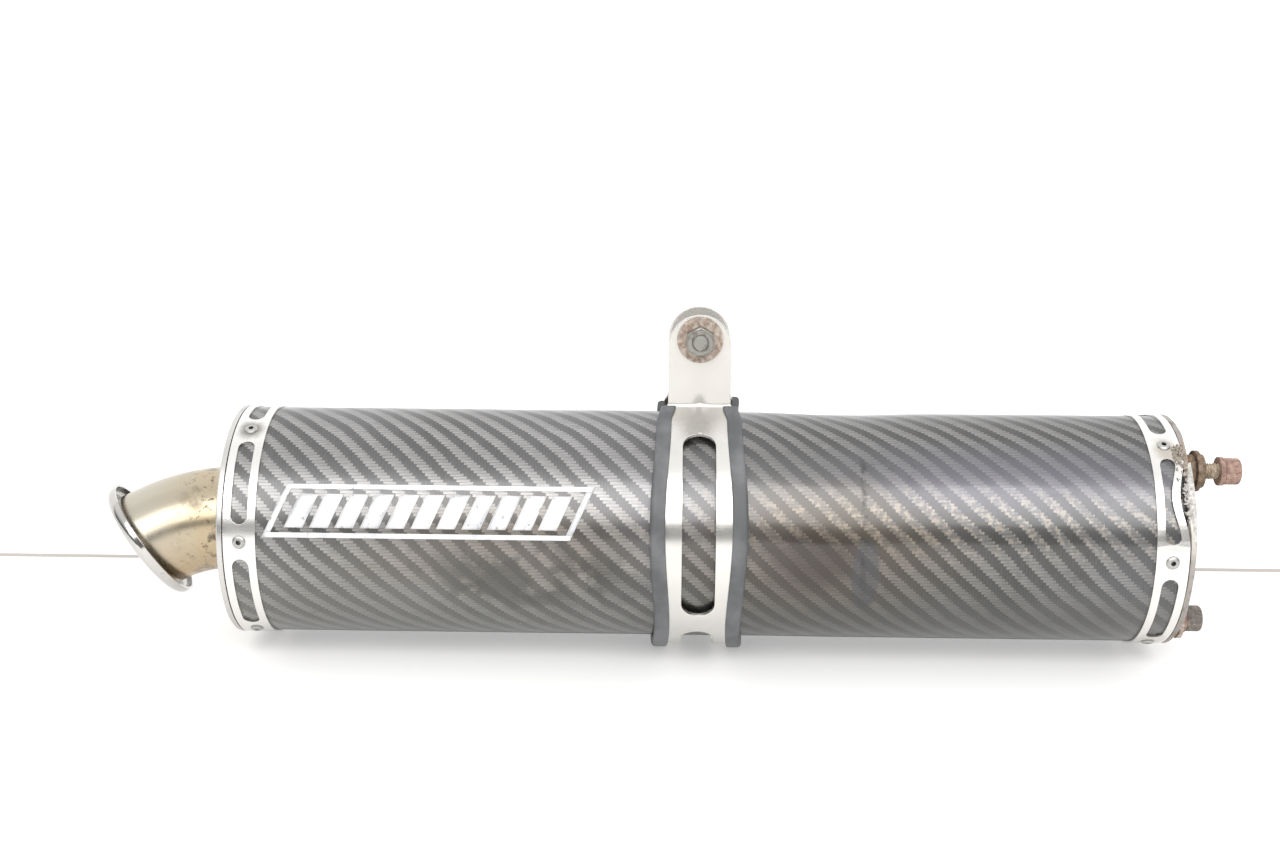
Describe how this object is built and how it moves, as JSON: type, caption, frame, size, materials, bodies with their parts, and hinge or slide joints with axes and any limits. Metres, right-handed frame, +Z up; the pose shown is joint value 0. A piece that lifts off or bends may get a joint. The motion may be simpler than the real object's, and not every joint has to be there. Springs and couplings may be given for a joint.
{
  "type": "motorcycle exhaust silencer",
  "caption": "Round carbon-sleeved motorcycle silencer with riveted bands, a screw-on inlet, a turned-down tail pipe with a rolled lip, and a rubber-edged hanger strap.",
  "frame": {"origin": "centre of the inlet socket, in the plane of the three boss faces that the link pipe bolts against", "axes": "+X along the silencer and out of its inlet, +Z up through the hanger tabs, -Y the outer side"},
  "size_m": [0.5639, 0.126, 0.1726],
  "materials": {
    "carbon_twill": "clear-coated 2/2 twill carbon laminate, gloss, lightly scuffed",
    "polished_band": "polished stainless sheet with scuffs",
    "cap_steel": "spun stainless sheet, satin, grimy",
    "rivet_alloy": "aluminium blind rivets, dull",
    "boss_steel": "turned steel, lightly rusted",
    "gas_tube": "stainless tube, sooted",
    "steel_wool": "stainless wool",
    "glass_fibre": "loose glass fibre packing",
    "tail_stainless": "stainless tube, straw heat tint with a brown patch",
    "lip_polished": "polished stainless rolled lip",
    "rusty_steel": "zinc-plated steel gone brown with rust",
    "dark_steel": "dull plated steel with dirt",
    "strap_polished": "polished stainless strap",
    "edge_rubber": "mid-grey satin rubber channel",
    "badge_foil": "bright foil with plain bars"
  },
  "bodies": {
    "silencer": {"carbon_sleeve": "carbon_twill", "outlet_end_cap": "cap_steel", "inlet_end_cap": "cap_steel", "outlet_band": "polished_band", "inlet_band": "polished_band", "outlet_rivets": "rivet_alloy", "inlet_rivets": "rivet_alloy", "inlet_bosses": "boss_steel", "inlet_socket": "gas_tube", "outlet_collar": "gas_tube", "perforated_core": "gas_tube", "steel_wool_wrap": "steel_wool", "glass_fibre_packing": "glass_fibre", "tail_pipe": "tail_stainless", "tail_pipe_lip": "lip_polished", "tight_inlet_washers": "rusty_steel", "tight_inlet_spring_washers": "dark_steel", "tight_inlet_screws": "dark_steel", "badge_foil": "badge_foil"},
    "hanger_clamp": {"clamp_strap": "strap_polished", "outlet_edge_trim": "edge_rubber", "inlet_edge_trim": "edge_rubber", "hanger_washers": "rusty_steel", "hanger_bolt": "dark_steel", "hanger_lock_nut": "dark_steel"},
    "loose_washers": {"loose_wide_washer": "rusty_steel", "loose_small_washer": "rusty_steel"},
    "loose_screw": {"loose_spring_washer": "rusty_steel", "loose_inlet_screw": "rusty_steel"}
  },
  "joints": [
    {"name": "clamp_slide", "type": "slide", "parent": "silencer", "child": "hanger_clamp", "axis": [1, 0, 0], "range_m": [-0.186, 0.19]},
    {"name": "screw_turn", "type": "hinge", "parent": "silencer", "child": "loose_washers", "pos_m": [0, -0.0261, 0.03727], "axis": [1, 0, 0], "range_deg": [-2160, 1440]},
    {"name": "screw_travel", "type": "slide", "parent": "loose_washers", "child": "loose_screw", "axis": [1, 0, 0], "range_m": [-0.0075, 0.005]}
  ],
  "couplings": [
    {"joint": "screw_turn", "follows": "screw_travel", "rad_per_m": 5026.5}
  ]
}
